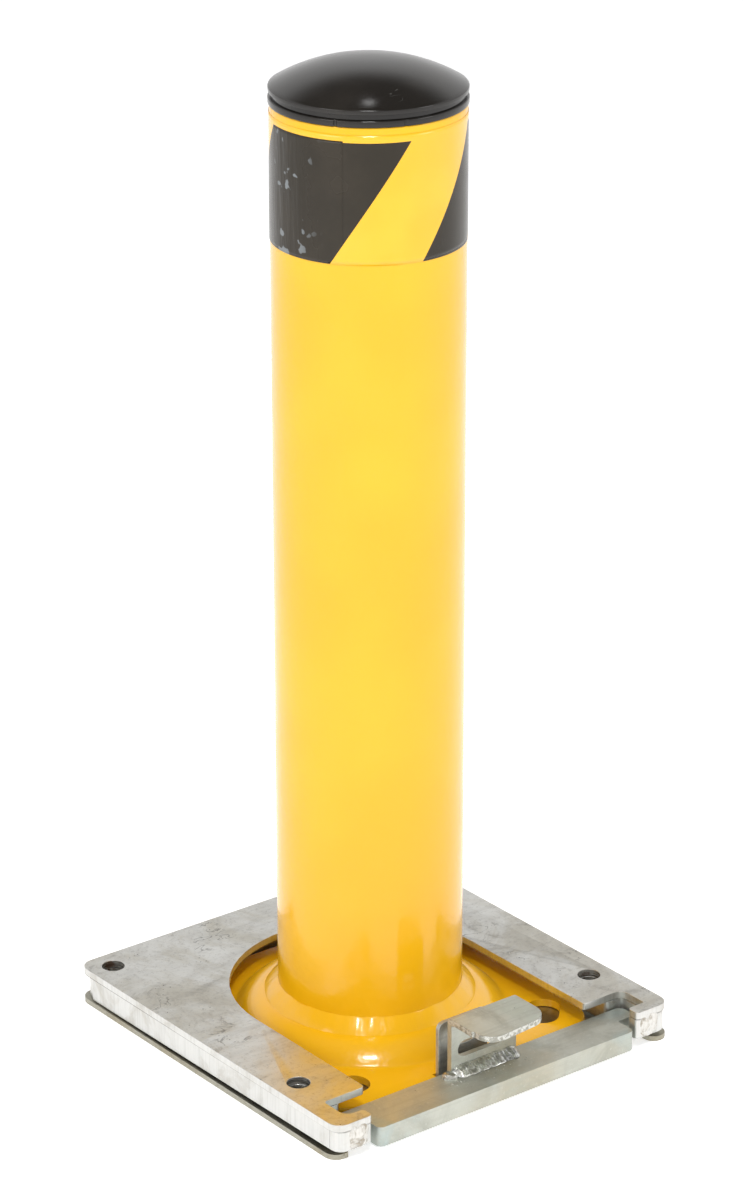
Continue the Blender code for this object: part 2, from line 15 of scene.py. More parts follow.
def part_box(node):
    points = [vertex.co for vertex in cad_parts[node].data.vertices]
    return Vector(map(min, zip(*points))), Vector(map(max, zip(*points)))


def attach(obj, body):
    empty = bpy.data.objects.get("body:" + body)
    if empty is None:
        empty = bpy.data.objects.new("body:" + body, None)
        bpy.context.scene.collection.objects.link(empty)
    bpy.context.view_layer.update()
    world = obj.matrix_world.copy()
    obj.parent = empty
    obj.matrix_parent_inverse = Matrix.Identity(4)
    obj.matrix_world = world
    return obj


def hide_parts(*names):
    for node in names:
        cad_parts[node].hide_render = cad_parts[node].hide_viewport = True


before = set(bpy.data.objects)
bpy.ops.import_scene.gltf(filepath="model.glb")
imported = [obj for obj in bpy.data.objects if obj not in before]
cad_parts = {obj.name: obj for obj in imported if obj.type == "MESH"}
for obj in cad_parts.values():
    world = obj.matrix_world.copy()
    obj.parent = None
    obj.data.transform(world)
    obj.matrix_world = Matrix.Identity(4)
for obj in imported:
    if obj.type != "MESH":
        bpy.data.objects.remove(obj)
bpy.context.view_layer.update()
random.seed(7)

MM = 0.001
TOUCH_GAP = 0.3 * MM  # what the CAD model leaves between pieces that touch

# The photograph's view: where the camera stands and how it is turned
CAMERA_PLACE = (-1.4444, -1.8592, 1.2382)
CAMERA_RIGHT = (0.7885, -0.6150, -0.0010)
CAMERA_UP = (0.2295, 0.2927, 0.9282)
CAMERA_LENS = 127.43
CAMERA_SHIFT = (-0.0027, -0.0191)

# Direction of the camera seen from the post, from which angles on the tape and cap are counted
FACING = math.radians(-127.84)

TUBE_STEPS = 192


# ---------------------------------------------------------------- boxes of the CAD nodes

def radius_of(node):
    low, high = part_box(node)
    return (high.x - low.x) / 2


POST_LOW, POST_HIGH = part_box("post_tube")
POST_RADIUS = radius_of("post_tube")
POST_WALL = 3.0 * MM
FLANGE_LOW, FLANGE_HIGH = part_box("base_flange")
WELD_LOW, WELD_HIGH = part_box("post_weld")
TAPE_LOW, TAPE_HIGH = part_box("stripe_tape")
PLUG_LOW, PLUG_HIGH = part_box("cap_plug")
LID_LOW, LID_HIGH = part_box("cap_lid")
TAB_LOW, TAB_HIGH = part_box("padlock_tab")
BAR_LOW, BAR_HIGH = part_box("lock_bar")
BEAD_LOW, BEAD_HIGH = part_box("bracket_weld")
BRACKET_LOW, BRACKET_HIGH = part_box("lock_bracket")
# Where the top plate lies on the rails
JOINT_HEIGHT = (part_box("left_rail")[1].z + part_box("top_plate")[0].z) / 2


# ---------------------------------------------------------------- geometry helpers

def add_piece(name, mesh, material, body, nodes=(), sharp_deg=30):
    """Put a mesh in the scene as a piece that rides on a body and stands for CAD nodes."""
    obj = bpy.data.objects.new(name, mesh)
    bpy.context.scene.collection.objects.link(obj)
    for entry in material if isinstance(material, list) else [material]:
        mesh.materials.append(entry)
    mesh.shade_smooth()
    if sharp_deg:
        mesh.set_sharp_from_angle(angle=math.radians(sharp_deg))
    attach(obj, body)
    if nodes:
        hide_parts(*nodes)
    return obj


def mesh_from_bmesh(name, bm):
    """Close up doubled points, turn the faces outwards and free the bmesh."""
    bmesh.ops.remove_doubles(bm, verts=bm.verts, dist=1e-7)
    bmesh.ops.recalc_face_normals(bm, faces=bm.faces)
    mesh = bpy.data.meshes.new(name)
    bm.to_mesh(mesh)
    bm.free()
    return mesh


def lathe(name, profile, steps=TUBE_STEPS, shift=None, closed=True):
    """Turn a closed (radius, z) profile about Z. shift(angle, radius, z) may move each point."""
    bm = bmesh.new()
    rings = []
    for radius, z in profile:
        ring = []
        for i in range(steps):
            angle = 2 * math.pi * i / steps
            r, h = shift(angle, radius, z) if shift else (radius, z)
            ring.append(bm.verts.new((r * math.cos(angle), r * math.sin(angle), h)))
        rings.append(ring)
    pairs = list(zip(rings, rings[1:]))
    if closed:
        pairs.append((rings[-1], rings[0]))
    for upper, lower in pairs:
        for i in range(steps):
            j = (i + 1) % steps
            bm.faces.new((upper[i], lower[i], lower[j], upper[j]))
    return mesh_from_bmesh(name, bm)


def arc(centre, radius, start_deg, end_deg, steps):
    angles = [math.radians(start_deg + (end_deg - start_deg) * i / steps) for i in range(steps + 1)]
    return [(centre[0] + radius * math.cos(a), centre[1] + radius * math.sin(a)) for a in angles]


def softened(node, name, material, body, width):
    """The CAD node's own shape with welded corners and rounded edges, so that they catch light."""
    bm = bmesh.new()
    bm.from_mesh(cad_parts[node].data)
    bmesh.ops.remove_doubles(bm, verts=bm.verts, dist=2e-5)
    bmesh.ops.dissolve_limit(bm, angle_limit=math.radians(0.6), verts=bm.verts, edges=bm.edges)
    mesh = mesh_from_bmesh(name, bm)
    obj = add_piece(name, mesh, material, body, [node])
    bevel = obj.modifiers.new("edges", "BEVEL")
    bevel.width = width
    bevel.segments = 2
    bevel.limit_method = "ANGLE"
    bevel.angle_limit = math.radians(25)
    bevel.harden_normals = True
    return obj


def cut(obj, cutter):
    """Cut obj with a helper mesh and drop the helper."""
    modifier = obj.modifiers.new("cut", "BOOLEAN")
    modifier.operation = "DIFFERENCE"
    modifier.solver = "EXACT"
    modifier.object = cutter
    graph = bpy.context.evaluated_depsgraph_get()
    mesh = bpy.data.meshes.new_from_object(obj.evaluated_get(graph))
    obj.modifiers.clear()
    old = obj.data
    obj.data = mesh
    bpy.data.meshes.remove(old)
    bpy.data.objects.remove(cutter, do_unlink=True)


def prism(name, outline, bottom, top):
    """An upright solid on a flat outline."""
    bm = bmesh.new()
    low = [bm.verts.new((x, y, bottom)) for x, y in outline]
    high = [bm.verts.new((x, y, top)) for x, y in outline]
    count = len(outline)
    bm.faces.new(low)
    bm.faces.new(high)
    for i in range(count):
        j = (i + 1) % count
        bm.faces.new((low[i], low[j], high[j], high[i]))
    obj = bpy.data.objects.new(name, mesh_from_bmesh(name, bm))
    bpy.context.scene.collection.objects.link(obj)
    return obj


def obround(centre, length, width, turn_deg, steps=16):
    """The outline of a slot with round ends."""
    turn = math.radians(turn_deg)
    reach = (length - width) / 2
    ahead = (math.cos(turn) * reach, math.sin(turn) * reach)
    near_centre = (centre[0] + ahead[0], centre[1] + ahead[1])
    far_centre = (centre[0] - ahead[0], centre[1] - ahead[1])
    near = arc(near_centre, width / 2, turn_deg - 90, turn_deg + 90, steps)
    far = arc(far_centre, width / 2, turn_deg + 90, turn_deg + 270, steps)
    return near + far


def blob(bm, place, radii, seed, detail=3):
    """A small rounded drop of metal, slightly uneven."""
    drop = bmesh.ops.create_icosphere(bm, subdivisions=detail, radius=1.0)
    for vert in drop["verts"]:
        swell = 1 + 0.16 * noise.noise(vert.co * 1.7 + Vector((seed, seed * 0.7, 0)))
        vert.co = Vector(
            (
                place[0] + vert.co.x * radii[0] * swell,
                place[1] + vert.co.y * radii[1] * swell,
                place[2] + vert.co.z * radii[2] * swell,
            )
        )


# ---------------------------------------------------------------- material helpers

class Look:
    """A node material, with short calls for the nodes that all of them use."""

    def __init__(self, name):
        self.material = bpy.data.materials.new(name)
        self.material.use_nodes = True
        self.nodes = self.material.node_tree.nodes
        self.links = self.material.node_tree.links
        self.shader = self.nodes["Principled BSDF"]
        self.place = self.nodes.new("ShaderNodeTexCoord").outputs["Object"]

    def join(self, source, target):
        """Set a socket to a number or a colour, or link it to another node's output."""
        if isinstance(source, (int, float)):
            target.default_value = source
        elif isinstance(source, tuple):
            target.default_value = (*source, 1.0) if len(source) == 3 else source
        else:
            self.links.new(source, target)

    def stretch(self, scale, turn=(0, 0, 0), move=(0, 0, 0)):
        """Object coordinates, scaled, turned and moved, to draw a pattern out into lines."""
        node = self.nodes.new("ShaderNodeMapping")
        node.inputs["Scale"].default_value = scale
        node.inputs["Rotation"].default_value = turn
        node.inputs["Location"].default_value = move
        self.links.new(self.place, node.inputs["Vector"])
        return node.outputs["Vector"]

    def noise(self, scale, detail=3.0, roughness=0.55, where=None, distortion=0.0):
        node = self.nodes.new("ShaderNodeTexNoise")
        node.inputs["Scale"].default_value = scale
        node.inputs["Detail"].default_value = detail
        node.inputs["Roughness"].default_value = roughness
        node.inputs["Distortion"].default_value = distortion
        self.links.new(where or self.place, node.inputs["Vector"])
        return node.outputs["Fac"]

    def cells(self, scale):
        """Distance to the nearest of many scattered points."""
        node = self.nodes.new("ShaderNodeTexVoronoi")
        node.inputs["Scale"].default_value = scale
        self.links.new(self.place, node.inputs["Vector"])
        return node.outputs["Distance"]

    def axis(self, name):
        node = self.nodes.new("ShaderNodeSeparateXYZ")
        self.links.new(self.place, node.inputs[0])
        return node.outputs[name]

    def facing(self, name):
        """A component of the surface's own direction, in object space."""
        direction = self.nodes.new("ShaderNodeTexCoord").outputs["Normal"]
        node = self.nodes.new("ShaderNodeSeparateXYZ")
        self.links.new(direction, node.inputs[0])
        return node.outputs[name]

    def spread(self, value, low, high, to_low=0.0, to_high=1.0):
        """Map a value's range onto another, clamped, with soft ends."""
        node = self.nodes.new("ShaderNodeMapRange")
        node.interpolation_type = "SMOOTHSTEP"
        for key, number in zip(
            ("From Min", "From Max", "To Min", "To Max"), (low, high, to_low, to_high)
        ):
            node.inputs[key].default_value = number
        self.join(value, node.inputs["Value"])
        return node.outputs["Result"]

    def math(self, operation, a, b=0.0):
        node = self.nodes.new("ShaderNodeMath")
        node.operation = operation
        self.join(a, node.inputs[0])
        self.join(b, node.inputs[1])
        return node.outputs[0]

    def blend(self, share, a, b):
        node = self.nodes.new("ShaderNodeMix")
        node.data_type = "RGBA"
        self.join(share, node.inputs["Factor"])
        self.join(a, node.inputs[6])
        self.join(b, node.inputs[7])
        return node.outputs[2]

    def bump(self, height, strength, distance=0.0002, after=None):
        node = self.nodes.new("ShaderNodeBump")
        node.inputs["Strength"].default_value = strength
        node.inputs["Distance"].default_value = distance
        self.links.new(height, node.inputs["Height"])
        if after is not None:
            self.links.new(after, node.inputs["Normal"])
        return node.outputs["Normal"]

    def finish(self, colour, roughness, metallic, normal=None, **sockets):
        """Join the main sockets and set the others, whose names have _ for a space."""
        for key, value in (
            ("Base Color", colour),
            ("Roughness", roughness),
            ("Metallic", metallic),
            ("Normal", normal),
        ):
            if value is not None:
                self.join(value, self.shader.inputs[key])
        for key, value in sockets.items():
            self.shader.inputs[key.replace("_", " ")].default_value = value
        return self.material


# ---------------------------------------------------------------- materials

def yellow_paint():
    """Glossy powder coat: faint tone changes, fine orange peel, a few specks of dust."""
    look = Look("yellow_paint")
    tone = look.noise(9.0, 2.0)
    colour = look.blend(look.spread(tone, 0.35, 0.7), (0.91, 0.480, 0.006), (0.94, 0.522, 0.010))
    specks = look.spread(look.cells(260.0), 0.0, 0.035, 1.0, 0.0)
    rare = look.spread(look.noise(60.0, 1.0), 0.66, 0.7)
    colour = look.blend(look.math("MULTIPLY", specks, rare), colour, (0.60, 0.30, 0.03))
    peel = look.noise(420.0, 2.0, 0.5)
    wave = look.noise(210.0, 1.0, 0.4)
    normal = look.bump(peel, 0.14, 0.0002, look.bump(wave, 0.40, 0.0004))
    rough = look.spread(look.noise(35.0, 3.0), 0.3, 0.75, 0.17, 0.27)
    return look.finish(
        colour, rough, 0.0, normal, Coat_Weight=0.4, Coat_Roughness=0.05, Coat_IOR=1.5, Specular_IOR_Level=0.4
    )


def plate_steel(name, pale, dark, warm):
    """Plated mill steel: cloudy smudges, fine speckle, pits, wavering scratches, faint streaks."""
    look = Look(name)
    streaks = look.noise(1.0, 4.0, 0.6, look.stretch((16, 130, 130)))
    clouds = look.noise(13.0, 6.0, 0.68, distortion=0.9)
    patches = look.noise(34.0, 5.0, 0.70, distortion=1.5)
    grain = look.noise(430.0, 5.0, 0.75)
    colour = look.blend(look.spread(clouds, 0.46, 0.64, 0.0, 0.75), pale, warm)
    colour = look.blend(look.spread(streaks, 0.48, 0.72, 0.0, 0.22), colour, dark)
    colour = look.blend(look.spread(patches, 0.57, 0.70, 0.0, 0.50), colour, dark)
    colour = look.blend(look.spread(grain, 0.50, 0.66, 0.0, 0.40), colour, dark)
    pits = look.spread(look.cells(300.0), 0.05, 0.20, 1.0, 0.0)
    pitted = look.spread(look.noise(48.0, 3.0, 0.6), 0.55, 0.62)
    colour = look.blend(look.math("MULTIPLY", pits, pitted), colour, (0.10, 0.09, 0.08))
    wander = look.noise(1.0, 3.0, 0.6, look.stretch((38, 64, 64), (0, 0, 0.3)), distortion=1.0)
    ridge = look.math("ABSOLUTE", look.math("SUBTRACT", wander, 0.5))
    scratched = look.spread(look.noise(24.0, 3.0, 0.6), 0.57, 0.66)
    scratches = look.math("MULTIPLY", look.spread(ridge, 0.004, 0.020, 0.55, 0.0), scratched)
    colour = look.blend(scratches, colour, (0.12, 0.11, 0.10))
    rough = look.spread(patches, 0.35, 0.7, 0.36, 0.50)
    height = look.math("ADD", look.math("MULTIPLY", streaks, 0.4), look.math("MULTIPLY", grain, 0.6))
    normal = look.bump(height, 0.20, 0.0002, look.bump(look.noise(60.0, 3.0), 0.14, 0.0008))
    return look.finish(colour, rough, 1.0, normal)


def sawn_steel():
    """Whitish cut sides of the plates and rails, with faint upright striations, and painted shade as a dark
    line along the joint between the plate and the rails.
    """
    look = Look("sawn_steel")
    joint_shade_inside, joint_shade_outside = 0.4 * MM, 0.8 * MM
    lines = look.noise(1.0, 3.0, 0.6, look.stretch((520, 520, 14)))
    clouds = look.noise(34.0, 5.0, 0.65, distortion=0.8)
    colour = look.blend(look.spread(lines, 0.42, 0.72, 0.0, 0.32), (0.70, 0.70, 0.68), (0.46, 0.46, 0.43))
    colour = look.blend(look.spread(clouds, 0.50, 0.70, 0.0, 0.60), colour, (0.50, 0.48, 0.43))
    nicks = look.spread(look.cells(240.0), 0.0, 0.07, 1.0, 0.0)
    nicked = look.spread(look.noise(50.0, 2.0), 0.60, 0.66)
    colour = look.blend(look.math("MULTIPLY", nicks, nicked), colour, (0.20, 0.19, 0.17))
    # The joint between the plate and the rails: a hairline, open at the rear and closing forward. Its shade
    # is painted as a dark line, darkest at the rear where the gap is open.
    beside = look.math("ABSOLUTE", look.math("SUBTRACT", look.axis("Z"), JOINT_HEIGHT))
    joint_shade = look.spread(beside, joint_shade_inside, joint_shade_outside, 1.0, 0.0)
    opening = look.spread(look.axis("Y"), -0.10, 0.12, 0.25, 0.85)
    openness = look.math("ADD", opening, look.math("SUBTRACT", clouds, 0.5))
    colour = look.blend(look.math("MULTIPLY", joint_shade, openness), colour, (0.05, 0.045, 0.04))
    normal = look.bump(lines, 0.12, 0.0002, look.bump(clouds, 0.12, 0.0004))
    rough = look.spread(clouds, 0.3, 0.7, 0.32, 0.48)
    return look.finish(colour, rough, 1.0, normal)


def zinc_plate(name, pale, dark, tint, torn_above=None):
    """Olive-grey zinc with cloudy blue and brown tints, drag lines and speckled wear. Side faces above
    a given height are torn, as a sheared edge is: pitted and bright."""
    look = Look(name)
    clouds = look.noise(30.0, 6.0, 0.7, distortion=0.6)
    tints = look.noise(15.0, 4.0, 0.6, distortion=1.2)
    browns = look.noise(11.0, 3.0, 0.6, look.stretch((1, 1, 1), (0, 0, 0), (0.3, 0.2, 0.1)))
    lines = look.noise(1.0, 3.0, 0.6, look.stretch((10, 420, 420)))
    grain = look.noise(480.0, 5.0, 0.75)
    colour = look.blend(look.spread(clouds, 0.40, 0.70), pale, dark)
    colour = look.blend(look.spread(tints, 0.46, 0.66, 0.0, 0.7), colour, tint)
    colour = look.blend(look.spread(browns, 0.50, 0.68, 0.0, 0.55), colour, (0.47, 0.42, 0.30))
    colour = look.blend(look.spread(lines, 0.46, 0.66, 0.0, 0.35), colour, dark)
    colour = look.blend(look.spread(grain, 0.56, 0.70, 0.0, 0.35), colour, (0.78, 0.79, 0.76))
    nicks = look.spread(look.cells(210.0), 0.04, 0.13, 1.0, 0.0)
    nicked = look.spread(look.noise(55.0, 2.0), 0.58, 0.64)
    colour = look.blend(look.math("MULTIPLY", nicks, nicked), colour, (0.16, 0.15, 0.13))
    height = look.math("ADD", look.math("MULTIPLY", lines, 0.5), look.math("MULTIPLY", grain, 0.5))
    normal = look.bump(height, 0.25, 0.0002, look.bump(look.noise(90.0, 2.0), 0.10, 0.0006))
    if torn_above is not None:
        side = look.spread(look.math("ABSOLUTE", look.facing("Z")), 0.4, 0.7, 1.0, 0.0)
        torn = look.math("MULTIPLY", side, look.spread(look.axis("Z"), torn_above, torn_above + 0.5 * MM))
        bites = look.noise(330.0, 5.0, 0.7)
        speckle = look.blend(look.spread(bites, 0.44, 0.56), (0.30, 0.29, 0.25), (0.74, 0.74, 0.70))
        colour = look.blend(look.math("MULTIPLY", torn, 0.7), colour, speckle)
        normal = look.bump(look.math("MULTIPLY", bites, torn), 0.6, 0.0005, normal)
    rough = look.spread(clouds, 0.3, 0.7, 0.40, 0.54)
    return look.finish(colour, rough, 0.75, normal)


def weld_metal():
    """Bright plated bead: silvery, with dark and brown flecks between its ripples."""
    look = Look("weld_metal")
    flecks = look.noise(210.0, 5.0, 0.7, distortion=1.0)
    colour = look.blend(look.spread(flecks, 0.40, 0.62), (0.82, 0.83, 0.79), (0.36, 0.35, 0.31))
    tarnish = look.spread(look.noise(60.0, 3.0), 0.56, 0.74, 0.0, 0.5)
    colour = look.blend(tarnish, colour, (0.52, 0.43, 0.30))
    normal = look.bump(look.noise(520.0, 3.0, 0.6), 0.5, 0.0003)
    rough = look.spread(flecks, 0.3, 0.7, 0.20, 0.42)
    return look.finish(colour, rough, 1.0, normal)


def ground_weld():
    """A weld dressed flat with a grinder: whitish, blotched grey and brown, with grinding lines."""
    look = Look("ground_weld")
    blotches = look.noise(150.0, 5.0, 0.65, distortion=0.9)
    lines = look.noise(1.0, 2.0, 0.6, look.stretch((1400, 500, 240), (0, 0.5, 0)))
    colour = look.blend(look.spread(blotches, 0.45, 0.66), (0.72, 0.71, 0.68), (0.40, 0.36, 0.30))
    colour = look.blend(look.spread(lines, 0.50, 0.72, 0.0, 0.5), colour, (0.46, 0.44, 0.40))
    normal = look.bump(lines, 0.35, 0.0002, look.bump(blotches, 0.4, 0.0005))
    rough = look.spread(blotches, 0.3, 0.7, 0.28, 0.48)
    return look.finish(colour, rough, 1.0, normal)


def hole_wall():
    """Drilled wall of the anchor holes: ridged, with rings coloured dark and bright, and rusty patches."""
    look = Look("hole_wall")
    ridges = look.noise(1.0, 3.0, 0.7, look.stretch((50, 50, 800)))
    rust = look.noise(110.0, 4.0, 0.6)
    colour = look.blend(look.spread(ridges, 0.42, 0.60), (0.24, 0.23, 0.21), (0.66, 0.65, 0.61))
    colour = look.blend(look.spread(rust, 0.54, 0.68, 0.0, 0.8), colour, (0.17, 0.09, 0.05))
    normal = look.bump(ridges, 0.6, 0.0004)
    return look.finish(colour, 0.42, 0.9, normal)


def scuff_mask(look):
    """Where the tape is scuffed: a patch on the side, to the left of the facing direction."""
    scuff_centre = FACING - math.radians(52)
    x = look.math("SUBTRACT", look.axis("X"), POST_RADIUS * math.cos(scuff_centre))
    y = look.math("SUBTRACT", look.axis("Y"), POST_RADIUS * math.sin(scuff_centre))
    distance = look.math("SQRT", look.math("ADD", look.math("MULTIPLY", x, x), look.math("MULTIPLY", y, y)))
    return look.spread(distance, 6 * MM, 26 * MM, 1.0, 0.0)


def tape_black():
    """Black print under clear film: a warm black, dulled, with scuffs and small creases."""
    look = Look("tape_black")
    cloud = look.noise(30.0, 3.0)
    colour = look.blend(look.spread(cloud, 0.35, 0.7), (0.022, 0.016, 0.008), (0.031, 0.023, 0.013))
    spots = look.spread(look.noise(150.0, 2.0, 0.4), 0.64, 0.69)
    mask = scuff_mask(look)
    spots = look.math("MULTIPLY", spots, mask)
    colour = look.blend(look.math("MULTIPLY", spots, 0.6), colour, (0.30, 0.33, 0.35))
    creases = look.noise(1.0, 3.0, 0.5, look.stretch((160, 160, 26)))
    creases = look.math("MULTIPLY", creases, look.math("ADD", mask, 0.12))
    normal = look.bump(creases, 0.5, 0.0010)
    rough = look.spread(look.math("ADD", cloud, look.math("MULTIPLY", mask, 0.3)), 0.3, 0.9, 0.20, 0.34)
    return look.finish(colour, rough, 0.0, normal, Specular_IOR_Level=0.40)


def tape_yellow():
    """The yellow film between the stripes."""
    look = Look("tape_yellow")
    tone = look.noise(26.0, 2.0)
    colour = look.blend(look.spread(tone, 0.35, 0.7), (0.93, 0.50, 0.008), (0.95, 0.54, 0.015))
    normal = look.bump(look.noise(1.0, 2.0, 0.5, look.stretch((90, 90, 20))), 0.12, 0.0006)
    return look.finish(colour, 0.20, 0.0, normal, Coat_Weight=0.5, Coat_Roughness=0.08)


def cap_plastic():
    """Black moulded plastic: smooth, faintly pebbled, with dust and hairline scratches."""
    look = Look("cap_plastic")
    cloud = look.noise(28.0, 3.0)
    colour = look.blend(look.spread(cloud, 0.35, 0.7), (0.012, 0.010, 0.008), (0.018, 0.015, 0.012))
    wander = look.noise(1.0, 2.0, 0.5, look.stretch((30, 70, 70), (0, 0, 0.9)), distortion=0.5)
    ridge = look.math("ABSOLUTE", look.math("SUBTRACT", wander, 0.5))
    scratched = look.spread(look.noise(38.0, 2.0), 0.60, 0.66)
    scratches = look.math("MULTIPLY", look.spread(ridge, 0.0, 0.006, 0.4, 0.0), scratched)
    colour = look.blend(scratches, colour, (0.16, 0.16, 0.15))
    dust = look.spread(look.cells(520.0), 0.0, 0.06, 0.35, 0.0)
    colour = look.blend(dust, colour, (0.20, 0.19, 0.17))
    pebbles = look.noise(900.0, 2.0, 0.5)
    waves = look.noise(60.0, 2.0)
    normal = look.bump(pebbles, 0.08, 0.0002, look.bump(waves, 0.05, 0.0006))
    rough = look.spread(cloud, 0.3, 0.7, 0.13, 0.20)
    return look.finish(colour, rough, 0.0, normal, Specular_IOR_Level=0.5)


def pale_floor():
    look = Look("pale_floor")
    tone = look.noise(3.0, 2.0)
    colour = look.blend(tone, (0.90, 0.90, 0.90), (0.92, 0.92, 0.92))
    look.join((1.0, 1.0, 1.0), look.shader.inputs["Emission Color"])
    return look.finish(colour, 0.7, 0.0, Specular_IOR_Level=0.2, Emission_Strength=0.45)


SHELF_UNDERSIDE = 46.6 * MM

PAINT = yellow_paint()
PLATE = plate_steel("plate_steel", (0.74, 0.735, 0.70), (0.38, 0.365, 0.33), (0.58, 0.55, 0.47))
FLOOR_STEEL = plate_steel("floor_steel", (0.40, 0.385, 0.32), (0.24, 0.225, 0.18), (0.33, 0.29, 0.20))
SAWN = sawn_steel()
BAR_ZINC = zinc_plate("bar_zinc", (0.54, 0.55, 0.49), (0.42, 0.425, 0.37), (0.46, 0.55, 0.54))
BRACKET_ZINC = zinc_plate(
    "bracket_zinc", (0.56, 0.575, 0.51), (0.40, 0.41, 0.36), (0.50, 0.54, 0.47), SHELF_UNDERSIDE
)
TAB_ZINC = zinc_plate("tab_zinc", (0.56, 0.56, 0.52), (0.32, 0.32, 0.30), (0.52, 0.50, 0.44))
WELD = weld_metal()
GROUND_WELD = ground_weld()
HOLE_WALL = hole_wall()
TAPE_BLACK = tape_black()
TAPE_YELLOW = tape_yellow()
CAP = cap_plastic()


# ---------------------------------------------------------------- painted post, weld and flange

def make_post():
    """The tube, with a rounded lip and enough rings down its side for the light to run smoothly."""
    lip = 0.6 * MM
    inner = POST_RADIUS - POST_WALL
    top, bottom = POST_HIGH.z, POST_LOW.z
    profile = arc((POST_RADIUS - lip, top - lip), lip, 90, 0, 4)
    rings = 24
    profile += [(POST_RADIUS, top - lip - (top - bottom - lip) * i / rings) for i in range(1, rings + 1)]
    profile += [(inner, bottom), (inner, top)]
    mesh = lathe("post", profile)
    add_piece("post", mesh, PAINT, "bollard", ["post_tube"], sharp_deg=50)


def uneven(angle, scale, seed):
    """Smooth noise round a ring, the same at both ends of the turn."""
    return noise.noise(Vector((math.cos(angle) * scale, math.sin(angle) * scale, seed)))


def make_post_weld():
    """A hand-laid fillet under paint: wavering toes, soft waves, and lumps where the arc stopped."""
    inner = POST_RADIUS + 0.05 * MM
    bottom = WELD_LOW.z - 0.25 * MM
    leg = WELD_HIGH.z - WELD_LOW.z
    reach = radius_of("post_weld") - POST_RADIUS
    count = 12
    hollowness = 2.0
    lump_size = 0.07
    # Each lump's angle from the facing direction and its width, in degrees
    lumps = [(FACING + math.radians(deg), width) for deg, width in ((1, 3.2), (-46, 4.5), (66, 4.0))]

    def swell(angle):
        size = 0.07 * uneven(angle, 6.0, 1.3) + 0.012 * uneven(angle, 30.0, 4.0)
        for centre, width in lumps:
            turn = math.degrees((angle - centre + math.pi) % (2 * math.pi) - math.pi)
            size += lump_size * math.exp(-((turn / width) ** 2))
        return size

    def shift(angle, share, _):
        """share runs from 0 at the upper toe to 1 at the lower toe, and 2 is the hidden root."""
        if share > 1:
            return inner - 1 * MM, bottom - 1 * MM
        upper = leg * (1.0 + 0.07 * uneven(angle, 6.0, 8.1))
        lower = reach * (1.0 + 0.06 * uneven(angle, 5.0, 2.2))
        turn = share * math.pi / 2
        crown = 1 + swell(angle) * math.sin(2 * turn)
        out = lower * math.sin(turn) ** hollowness * crown
        rise = upper * math.cos(turn) ** hollowness * crown
        return inner + out, boss_height(inner + out) - 0.1 * MM + rise

    profile = [(i / count, 0) for i in range(count + 1)] + [(2, 0)]
    mesh = lathe("post_bead", profile, 720, shift)
    add_piece("post_bead", mesh, PAINT, "bollard", ["post_weld"], sharp_deg=60)


BOSS_INNER = 62.0 * MM
BOSS_OUTER = 83.6 * MM
FLANGE_THICKNESS = 4.9 * MM
FLANGE_FLAT = FLANGE_LOW.z + FLANGE_THICKNESS
FLANGE_CORNER = 20.0 * MM
# Centre, length, width and turn in degrees of each bolt slot
BOLT_SLOTS = (
    ((-76.0 * MM, 76.0 * MM), 33.0 * MM, 22.0 * MM, 45.0),
    ((76.0 * MM, 76.0 * MM), 33.0 * MM, 22.0 * MM, -45.0),
    ((-75.0 * MM, -75.0 * MM), 28.0 * MM, 22.0 * MM, 0.0),
    ((78.5 * MM, -73.5 * MM), 32.0 * MM, 21.0 * MM, 45.0),
)
TAB_CLEARANCE = 2.1 * MM
CUTTER_TOP = 30 * MM


def boss_height(radius):
    """Top of the flange: level under the post, ever steeper to the fold, which has a small radius."""
    softness = 0.8 * MM
    past_fold = 1.4
    share = min(max((radius - BOSS_INNER) / (BOSS_OUTER - BOSS_INNER), 0.0), past_fold)
    height = FLANGE_HIGH.z + (FLANGE_FLAT - FLANGE_HIGH.z) * share * share
    above = height - FLANGE_FLAT
    return FLANGE_FLAT + 0.5 * (above + math.sqrt(above * above + softness * softness))


def square_reach(angle, half, corner):
    """Distance from the middle of a square with rounded corners to its edge, in one direction."""
    dx = abs(math.cos(angle))
    dy = abs(math.sin(angle))
    straight = half / max(dx, dy)
    inner = half - corner
    if min(dx, dy) * straight <= inner:
        return straight
    along = inner * (dx + dy)
    return along + math.sqrt(along * along - 2 * inner * inner + corner**2)


